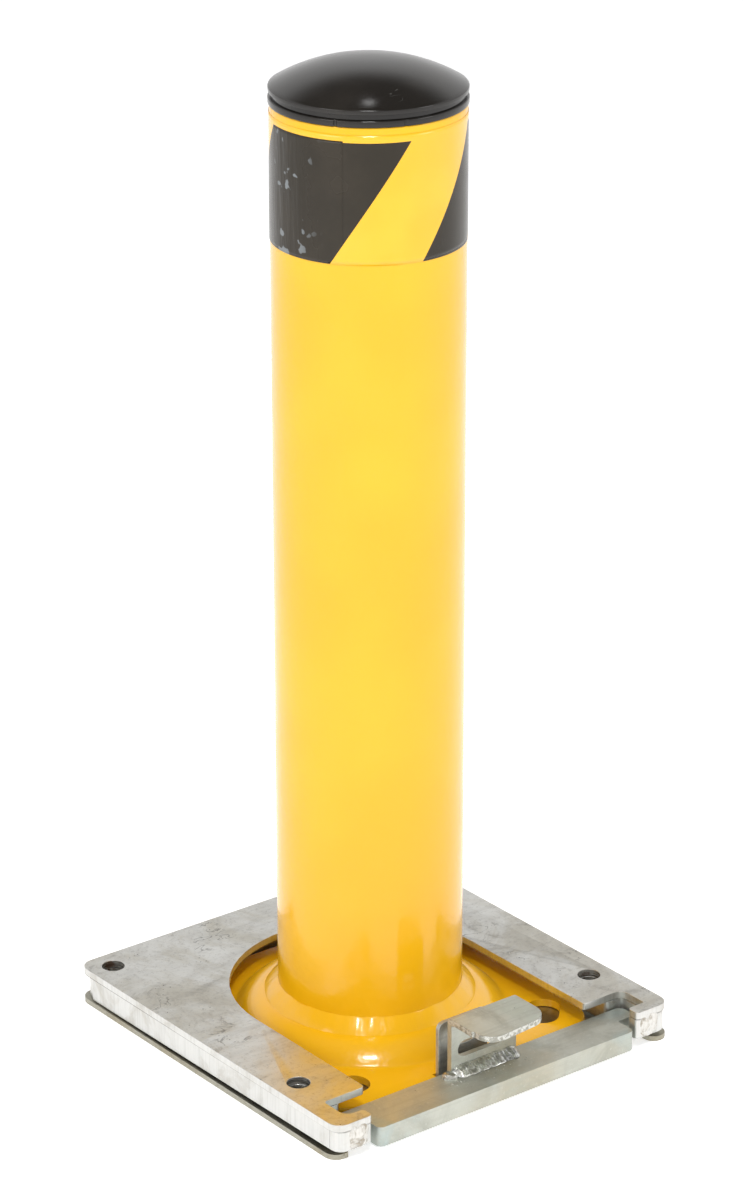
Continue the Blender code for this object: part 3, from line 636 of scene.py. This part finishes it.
def make_flange():
    """One pressed sheet: a disc raised in the middle, grown out to a rounded square with eased rims."""
    half = FLANGE_HIGH.x
    rim = 1.3 * MM
    steps = 288
    tube_hole = 56.0 * MM
    fold_end = BOSS_OUTER + 3 * MM
    radii = [tube_hole + (BOSS_INNER - tube_hole) * i / 3 for i in range(3)]
    radii += [BOSS_INNER + (fold_end - BOSS_INNER) * i / 30 for i in range(31)]
    bm = bmesh.new()

    def ring_of(radius, inset, height):
        ring = []
        for i in range(steps):
            angle = 2 * math.pi * i / steps
            reach = radius if radius is not None else square_reach(angle, half, FLANGE_CORNER) - inset
            ring.append(bm.verts.new((reach * math.cos(angle), reach * math.sin(angle), height)))
        return ring

    rings = [ring_of(radius, 0, boss_height(radius)) for radius in radii]
    for angle in (0, 30, 60, 90):
        inset = rim * (1 - math.sin(math.radians(angle)))
        drop = rim * (1 - math.cos(math.radians(angle)))
        rings.append(ring_of(None, inset, FLANGE_FLAT - drop))
    rings.append(ring_of(None, 0, FLANGE_LOW.z + 0.5 * MM))
    rings.append(ring_of(None, 0.5 * MM, FLANGE_LOW.z))
    for radius in reversed(radii):
        rings.append(ring_of(radius, 0, boss_height(radius + 1.5 * MM) - FLANGE_THICKNESS))
    for upper, lower in [*zip(rings, rings[1:]), (rings[-1], rings[0])]:
        for i in range(steps):
            j = (i + 1) % steps
            bm.faces.new((upper[i], lower[i], lower[j], upper[j]))
    mesh = mesh_from_bmesh("flange", bm)
    flange = add_piece("flange", mesh, PAINT, "bollard", ["base_flange"], sharp_deg=40)
    for centre, length, width, turn in BOLT_SLOTS:
        cut(flange, prism("slot_cutter", obround(centre, length, width, turn), 0, CUTTER_TOP))
    left = TAB_LOW.x - TAB_CLEARANCE
    right = TAB_HIGH.x + TAB_CLEARANCE
    rear = TAB_HIGH.y + TOUCH_GAP
    front = -1.2 * half
    notch = [(left, front), (right, front), (right, rear), (left, rear)]
    cut(flange, prism("notch_cutter", notch, 0, CUTTER_TOP))
    merge_flat_faces(flange.data, BOSS_OUTER + 4 * MM)
    flange.data.shade_smooth()
    flange.data.set_sharp_from_angle(angle=math.radians(40))
    bevel = flange.modifiers.new("slot_rims", "BEVEL")
    bevel.width = 1.5 * MM
    bevel.segments = 4
    bevel.limit_method = "ANGLE"
    bevel.angle_limit = math.radians(60)
    bevel.harden_normals = True


def merge_flat_faces(mesh, beyond):
    """Join the coplanar faces beyond a radius, so that a bevel there isn't held back by them."""
    bm = bmesh.new()
    bm.from_mesh(mesh)
    verts = [v for v in bm.verts if math.hypot(v.co.x, v.co.y) > beyond]
    chosen = set(verts)
    edges = [e for e in bm.edges if e.verts[0] in chosen and e.verts[1] in chosen]
    bmesh.ops.dissolve_limit(bm, angle_limit=math.radians(0.3), verts=verts, edges=edges)
    bm.to_mesh(mesh)
    bm.free()


# ---------------------------------------------------------------- marking tape

# Angles are counted from the facing direction, at the film's lower edge
STRIPE_STARTS_DEG = (-118.0, 32.4, 137.2)
STRIPE_ENDS_DEG = (-22.6, 82.3, 187.1)
STRIPE_LEAN_DEG = 48.0
LAP_EDGE_DEG = -14.6
PRINT_TOP = TAPE_HIGH.z - 3.6 * MM
# The film lies a little inside the CAD sleeve's surface, which is left for its lapped end
FILM_RADIUS = radius_of("stripe_tape") - 0.12 * MM
FILM_THICKNESS = 0.15 * MM
LAP_THICKNESS = 0.10 * MM


def film_sheet(columns, rows, radius_at, angle_at, is_black):
    """A sheet of film bent round the post. angle_at gives each column's angle, in degrees from the
    facing direction, at each height."""
    bm = bmesh.new()
    grid = []
    for z in rows:
        line = []
        for column in columns:
            angle = FACING + math.radians(angle_at(column, z))
            r = radius_at(column)
            line.append(bm.verts.new((r * math.cos(angle), r * math.sin(angle), z)))
        grid.append(line)
    for j, (low, high) in enumerate(zip(grid, grid[1:])):
        for i in range(len(columns) - 1):
            face = bm.faces.new((low[i], low[i + 1], high[i + 1], high[i]))
            middle_z = (rows[j] + rows[j + 1]) / 2
            middle = (columns[i] + columns[i + 1]) / 2
            face.material_index = 0 if is_black(middle, middle_z) else 1
    return bm


def slant(z):
    """How far round, in degrees, a stripe's edge has leaned at a height."""
    share = (z - TAPE_LOW.z) / (PRINT_TOP - TAPE_LOW.z)
    return STRIPE_LEAN_DEG * min(max(share, 0.0), 1.0)


def spaced(start, end, step):
    count = max(1, round(abs(end - start) / step))
    return [start + (end - start) * i / count for i in range(count)]


def make_tape():
    """The printed film, one turn round the post: black stripes share their edges with the yellow."""
    stops = []
    for start, end in zip(STRIPE_STARTS_DEG, STRIPE_ENDS_DEG):
        stops += [start, end]
    stops.append(STRIPE_STARTS_DEG[0] + 360)
    columns = []
    for start, end in zip(stops, stops[1:]):
        columns += spaced(start, end, 2.0)
    columns.append(stops[-1])
    print_top = PRINT_TOP - 0.8 * MM  # this layer's print ends a little below the lap's
    rows = [*spaced(TAPE_LOW.z, print_top, 3 * MM), *spaced(print_top, TAPE_HIGH.z, 2 * MM), TAPE_HIGH.z]

    def is_black(degrees, z):
        inside = any(a < degrees < b for a, b in zip(STRIPE_STARTS_DEG, STRIPE_ENDS_DEG))
        return inside and z < print_top

    bm = film_sheet(columns, rows, lambda d: FILM_RADIUS, lambda d, z: d + slant(z), is_black)
    mesh = mesh_from_bmesh("tape", bm)
    tape = add_piece(
        "tape", mesh, [TAPE_BLACK, TAPE_YELLOW], "bollard", ["stripe_tape"], sharp_deg=60
    )
    give_film_thickness(tape, FILM_THICKNESS)


def give_film_thickness(obj, thickness):
    """Thicken a sheet inwards."""
    solid = obj.modifiers.new("film", "SOLIDIFY")
    solid.thickness = thickness
    solid.offset = -1


def make_tape_lap():
    """The end of the film, lapped over its start: a second layer over the front black stripe, with one
    free upright edge, cut short where the stripe's own slanted edge crosses it."""
    rows = [*spaced(TAPE_LOW.z + 0.1 * MM, PRINT_TOP, 2 * MM), PRINT_TOP]
    columns = [i / 48 for i in range(49)]
    start_radius = FILM_RADIUS + 0.01 * MM
    end_radius = radius_of("stripe_tape")

    def radius_at(share):
        """The layer climbs off the one below over the first sixth of its width."""
        return start_radius + (end_radius - start_radius) * min(1.0, share * 6)

    def angle_at(share, z):
        left = STRIPE_STARTS_DEG[0] + slant(z)
        right = min(LAP_EDGE_DEG, STRIPE_ENDS_DEG[0] + slant(z))
        return left + (right - left) * share

    bm = film_sheet(columns, rows, radius_at, angle_at, lambda share, z: True)
    mesh = mesh_from_bmesh("tape_lap", bm)
    lap = add_piece("tape_lap", mesh, TAPE_BLACK, "bollard", sharp_deg=60)
    give_film_thickness(lap, LAP_THICKNESS)


# ---------------------------------------------------------------- cap

def make_cap():
    """The domed lid over its plug: the lid has an eased rim, the plug's ring small gate marks."""
    radius = radius_of("cap_lid")
    rim_top = 598.4 * MM
    rim_bottom = 595.2 * MM
    rim_lip = 0.5 * MM
    shoulder = 0.8 * MM
    edge = radius - rim_lip
    dome_power = 2.2
    centre_hole = 0.05 * MM

    def dome(reach, count, drop):
        rise = LID_HIGH.z - rim_top
        radii = [centre_hole + (reach - centre_hole) * i / count for i in range(count + 1)]
        return [(r, LID_HIGH.z - drop - rise * (r / edge) ** dome_power) for r in radii]

    profile = dome(edge, 40, 0.0)
    profile += arc((radius - shoulder, rim_top - 0.9 * MM), shoulder, 55, 0, 4)
    profile += arc((radius - rim_lip, rim_bottom + rim_lip), rim_lip, 0, -90, 3)
    groove = radius - 1.8 * MM
    groove_floor = PLUG_HIGH.z + TOUCH_GAP
    collar = 50.0 * MM
    collar_inner = collar - 2.2 * MM
    lid_thickness = 2.6 * MM
    profile += [(groove, rim_bottom), (groove, groove_floor)]
    profile += [(collar, groove_floor), (collar, LID_LOW.z), (collar_inner, LID_LOW.z)]
    profile += dome(collar_inner, 12, lid_thickness)[::-1]
    mesh = lathe("lid", profile, closed=False)
    bm = bmesh.new()
    bm.from_mesh(mesh)
    bmesh.ops.holes_fill(bm, edges=[e for e in bm.edges if e.is_boundary])
    bmesh.ops.recalc_face_normals(bm, faces=bm.faces)
    bm.to_mesh(mesh)
    bm.free()
    add_piece("lid", mesh, CAP, "cap", ["cap_lid"], sharp_deg=35)

    marks = [FACING + math.radians(deg) for deg in (-19.0, 21.5, 140.0, 220.0)]
    mark_half_deg = 1.1
    mark_depth = 0.9 * MM

    def shift(angle, r, z):
        """Sink the ring's outer face a little at each gate mark."""
        if r < radius - 1.2 * MM:
            return r, z
        depth = 0.0
        for mark in marks:
            turn = abs(math.degrees((angle - mark + math.pi) % (2 * math.pi) - math.pi))
            depth = max(depth, 1.0 - (turn / mark_half_deg) ** 4)
        return r - mark_depth * depth, z

    low, high = PLUG_LOW.z, PLUG_HIGH.z
    ring_bottom = POST_HIGH.z + TOUCH_GAP
    ring_floor = ring_bottom + 1.5 * MM
    ring_radius = radius_of("cap_plug")
    ring_lip = 0.7 * MM
    skirt = POST_RADIUS - POST_WALL - 0.35 * MM
    skirt_inner = skirt - 2.5 * MM
    ring_inner = collar + TOUCH_GAP
    profile = arc((ring_radius - ring_lip, high - ring_lip), ring_lip, 90, 0, 4)
    profile += arc((ring_radius - rim_lip, ring_bottom + rim_lip), rim_lip, 0, -90, 3)
    profile += [(skirt, ring_bottom), (skirt, low), (skirt_inner, low)]
    profile += [(skirt_inner, ring_floor), (ring_inner, ring_floor), (ring_inner, high)]
    mesh = lathe("plug", profile, 576, shift)
    add_piece("plug", mesh, CAP, "cap", ["cap_plug"], sharp_deg=35)


# ---------------------------------------------------------------- receiver

# Centres of the anchor holes
ANCHORS = [(x * MM, y * MM) for x in (-113.2, 113.2) for y in (-76.5, 116.0)]


def face_looks(obj, side=1, hole=2):
    """Give a plate's upright faces the sawn look, and its anchor holes' walls the dark ridged one."""
    hole_reach = 8 * MM
    for face in obj.data.polygons:
        if abs(face.normal.z) > 0.5:
            continue
        near = min(math.hypot(face.center.x - x, face.center.y - y) for x, y in ANCHORS)
        face.material_index = hole if near < hole_reach else side


def make_receiver():
    top = softened("top_plate", "receiver_top", [PLATE, SAWN, HOLE_WALL], "receiver", 0.4 * MM)
    face_looks(top)
    softened("floor_plate", "receiver_floor", FLOOR_STEEL, "receiver", 0.2 * MM)
    for node in ("left_rail", "right_rail", "rear_rail", "left_hook_block", "right_hook_block"):
        rail = softened(node, "receiver_" + node, [SAWN, HOLE_WALL], "receiver", 0.2 * MM)
        face_looks(rail, 0, 1)


def make_hook_weld(node, name, seed):
    """A dressed weld: a low uneven swelling over the joint that fades into the faces round it, with
    a wavering outline and a crater low in its middle."""
    low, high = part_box(node)
    rings, spokes = 16, 64
    squareness = 3.5
    block_face = high.y + 0.6 * MM
    swell = block_face - low.y
    middle_x = (low.x + high.x) / 2
    middle_z = (low.z + high.z) / 2
    bm = bmesh.new()

    def height(u, v, share):
        fade = 1 - share**3
        lumps = 0.25 * noise.noise(Vector((u * 2.4, v * 2.4, seed)))
        crater = 0.45 * math.exp(-((u - 0.1) ** 2 + (v + 0.45) ** 2) / 0.035)
        return swell * min(1.0, max(0.0, fade * (0.78 + lumps) - crater))

    centre = bm.verts.new((middle_x, block_face - height(0, 0, 0), middle_z))
    lines = []
    for j in range(1, rings + 1):
        share = j / rings
        line = []
        for i in range(spokes):
            angle = 2 * math.pi * i / spokes
            corner_sum = abs(math.cos(angle)) ** squareness + abs(math.sin(angle)) ** squareness
            square = corner_sum ** (-1 / squareness)
            reach = share * square * (0.93 + 0.10 * uneven(angle, 2.2, seed))
            u = reach * math.cos(angle)
            v = reach * math.sin(angle)
            x = middle_x + u * (high.x - low.x) / 2
            z = middle_z + v * (high.z - low.z) / 2
            line.append(bm.verts.new((x, block_face - height(u, v, share), z)))
        lines.append(line)
    for i in range(spokes):
        bm.faces.new((centre, lines[0][i], lines[0][(i + 1) % spokes]))
    for inner, outer in zip(lines, lines[1:]):
        for i in range(spokes):
            k = (i + 1) % spokes
            bm.faces.new((inner[i], outer[i], outer[k], inner[k]))
    back = [bm.verts.new((v.co.x, block_face + TOUCH_GAP, v.co.z)) for v in lines[-1]]
    for i in range(spokes):
        k = (i + 1) % spokes
        bm.faces.new((lines[-1][i], back[i], back[k], lines[-1][k]))
    bm.faces.new(back)
    mesh = mesh_from_bmesh(name, bm)
    add_piece(name, mesh, GROUND_WELD, "receiver", [node], sharp_deg=70)


# ---------------------------------------------------------------- lock bar and bracket

def make_lock():
    """The bar and its bracket, and the padlock tab, which rides with the bollard."""
    softened("lock_bar", "bar", BAR_ZINC, "lock", 0.3 * MM)
    softened("lock_bracket", "bracket", BRACKET_ZINC, "lock", 0.45 * MM)
    softened("padlock_tab", "tab", TAB_ZINC, "bollard", 0.3 * MM)


def make_tab_weld():
    mesh = bead_mesh("tab_bead", *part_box("tab_weld"), False, 11.0)
    add_piece("tab_bead", mesh, WELD, "bollard", ["tab_weld"], sharp_deg=70)


def bead_mesh(name, low, high, faces_front, seed):
    """A fillet laid along X in the corner of two plates, with overlapping ripples and tapered ends."""
    steps = 150
    taper_steps = 20
    count = 12
    hollowness = 1.75
    pool = 3.1 * MM
    root = 0.25 * MM
    width = high.y - low.y
    height = high.z - low.z
    bm = bmesh.new()
    rings = []
    for i in range(steps + 1):
        x = low.x + (high.x - low.x) * i / steps
        from_end = min(1.0, min(i, steps - i) / taper_steps)
        end = math.sqrt(1 - (1 - from_end) ** 2)
        waver = 1 + 0.22 * noise.noise(Vector((x * 95, seed, 0)))
        drift = 2.4 * noise.noise(Vector((x * 90, 0, seed)))
        ripple = 0.04 * abs(math.sin(math.pi * x / pool + drift))
        ring = []
        for k in range(count + 1):
            turn = math.pi / 2 * k / count
            grow = (0.12 + 0.88 * end) * waver
            across = (math.cos(turn) * 2.5, math.sin(turn) * 2.5 + seed)
            rough = 0.11 * noise.noise(Vector((x * 260, *across)))
            rough += 0.05 * noise.noise(Vector((x * 900, *across)))
            crown = 1 + (ripple + rough - 0.04) * math.sin(2 * turn)
            out = min(1.0, math.sin(turn) ** hollowness * grow * crown)
            rise = min(1.0, math.cos(turn) ** hollowness * grow * crown)
            y = high.y - width * out if faces_front else low.y + width * out
            ring.append(bm.verts.new((x, y, low.z + height * rise)))
        root_y = high.y + root if faces_front else low.y - root
        ring.append(bm.verts.new((x, root_y, low.z - root)))
        rings.append(ring)
    for ring, following in zip(rings, rings[1:]):
        for k in range(len(ring)):
            m = (k + 1) % len(ring)
            bm.faces.new((ring[k], following[k], following[m], ring[m]))
    bm.faces.new(rings[0])
    bm.faces.new(rings[-1])
    return mesh_from_bmesh(name, bm)


def make_bracket_weld():
    mesh = bead_mesh("bracket_bead", BEAD_LOW, BEAD_HIGH, True, 3.0)
    add_piece("bracket_bead", mesh, WELD, "lock", ["bracket_weld"], sharp_deg=70)


def make_bracket_end_weld():
    """The bead's tapering tail, where it wraps round the leg's end: overlapping pools of metal."""
    low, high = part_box("bracket_end_weld")
    bm = bmesh.new()
    pools = 13
    for i in range(pools):
        share = i / (pools - 1)
        size = 0.55 + 0.45 * math.sin(math.pi * (0.15 + 0.6 * share))
        x = high.x - 1.9 * MM - 1.6 * MM * math.sin(math.pi * share)
        y = high.y - 2.2 * MM + (low.y - high.y + 5.0 * MM) * share
        radii = (3.9 * MM * size, 2.4 * MM * size, 3.3 * MM * size)
        blob(bm, (x, y, low.z), radii, 5.0 + 0.35 * i)
    mesh = mesh_from_bmesh("end_bead", bm)
    add_piece("end_bead", mesh, WELD, "lock", ["bracket_end_weld"], sharp_deg=0)


def make_spatter():
    """Small drops thrown on the bar beside the bead, and on the foot of the bracket's leg."""
    bm = bmesh.new()
    for i in range(34):
        x = random.uniform(BEAD_LOW.x - 11 * MM, BEAD_HIGH.x + 8 * MM)
        y = max(BEAD_LOW.y - abs(random.gauss(0, 3.6 * MM)) - TOUCH_GAP, BAR_LOW.y + 2 * MM)
        size = random.uniform(0.22, 0.58) * MM
        blob(bm, (x, y, BAR_HIGH.z), (size, size, size * 0.7), i * 0.9, 2)
    for i in range(12):
        x = random.uniform(BRACKET_LOW.x + 2 * MM, BRACKET_HIGH.x - 2 * MM)
        z = BEAD_HIGH.z + abs(random.gauss(0, 1.6 * MM)) + TOUCH_GAP
        size = random.uniform(0.20, 0.45) * MM
        blob(bm, (x, BEAD_HIGH.y + TOUCH_GAP, z), (size, size * 0.7, size), i * 1.7, 2)
    mesh = mesh_from_bmesh("spatter", bm)
    add_piece("spatter", mesh, WELD, "lock", sharp_deg=0)


# ---------------------------------------------------------------- studio

def make_camera():
    """A long lens at the photograph's angle."""
    data = bpy.data.cameras.new("camera")
    data.lens = CAMERA_LENS
    data.sensor_width = 36
    data.shift_x, data.shift_y = CAMERA_SHIFT
    data.clip_end = 50
    camera = bpy.data.objects.new("camera", data)
    bpy.context.scene.collection.objects.link(camera)
    right = Vector(CAMERA_RIGHT).normalized()
    up = Vector(CAMERA_UP)
    up = (up - right * up.dot(right)).normalized()
    back = right.cross(up)
    turn = Matrix((right, up, back)).transposed().to_4x4()
    camera.matrix_world = Matrix.Translation(CAMERA_PLACE) @ turn
    bpy.context.scene.camera = camera


def make_light(name, place, aim, size, watts, in_reflections=True):
    """A soft box at a place, facing another."""
    data = bpy.data.lights.new(name, "AREA")
    data.shape = "RECTANGLE"
    data.size, data.size_y = size
    data.energy = watts
    light = bpy.data.objects.new(name, data)
    bpy.context.scene.collection.objects.link(light)
    light.location = place
    light.rotation_euler = (Vector(place) - Vector(aim)).to_track_quat("Z", "Y").to_euler()
    light.visible_glossy = in_reflections


def make_world():
    """White all round the horizon, darker overhead, like a studio with a low white cove. The heights
    are the upward part of the direction looked in, between which the light falls off."""
    world = bpy.data.worlds.new("studio")
    world.use_nodes = True
    nodes = world.node_tree.nodes
    links = world.node_tree.links
    direction = nodes.new("ShaderNodeTexCoord").outputs["Generated"]
    split = nodes.new("ShaderNodeSeparateXYZ")
    links.new(direction, split.inputs[0])
    ramp = nodes.new("ShaderNodeMapRange")
    ramp.interpolation_type = "SMOOTHSTEP"
    white_below, dark_above, horizon, zenith = 0.52, 0.80, 1.0, 0.13
    falloff = (("From Min", white_below), ("From Max", dark_above), ("To Min", horizon), ("To Max", zenith))
    for key, number in falloff:
        ramp.inputs[key].default_value = number
    links.new(split.outputs["Z"], ramp.inputs["Value"])
    links.new(ramp.outputs["Result"], nodes["Background"].inputs["Strength"])
    nodes["Background"].inputs["Color"].default_value = (1.0, 1.0, 1.0, 1.0)
    bpy.context.scene.world = world


def make_studio():
    """A pale floor, the world and five soft boxes, one of them left out of reflections."""
    bm = bmesh.new()
    bmesh.ops.create_grid(bm, x_segments=2, y_segments=2, size=12)
    mesh = mesh_from_bmesh("studio_floor", bm)
    mesh.materials.append(pale_floor())
    floor = bpy.data.objects.new("studio_floor", mesh)
    bpy.context.scene.collection.objects.link(floor)
    bpy.context.scene.view_settings.view_transform = "Standard"
    make_world()
    make_light("overhead_fill", (0.0, 0.0, 2.8), (0, 0, 0), (2.4, 2.4), 21, False)
    make_light("small_overhead", (0.36, 0.46, 2.41), (0, 0, 0.6), (0.16, 0.12), 0.3)
    make_light("key_box", (-0.62, -0.80, 2.1), (0, 0, 0.1), (0.30, 0.20), 12)
    make_light("left_box", (-2.3, -0.3, 1.5), (0, 0, 0.2), (1.0, 1.4), 10)
    make_light("right_box", (1.3, -2.2, 1.3), (0, 0, 0.2), (0.8, 1.2), 8)


make_camera()
make_studio()
make_post()
make_post_weld()
make_flange()
make_tape()
make_tape_lap()
make_cap()
make_receiver()
make_hook_weld("left_hook_weld", "left_hook_pad", 2.0)
make_hook_weld("right_hook_weld", "right_hook_pad", 9.0)
make_lock()
make_tab_weld()
make_bracket_weld()
make_bracket_end_weld()
make_spatter()
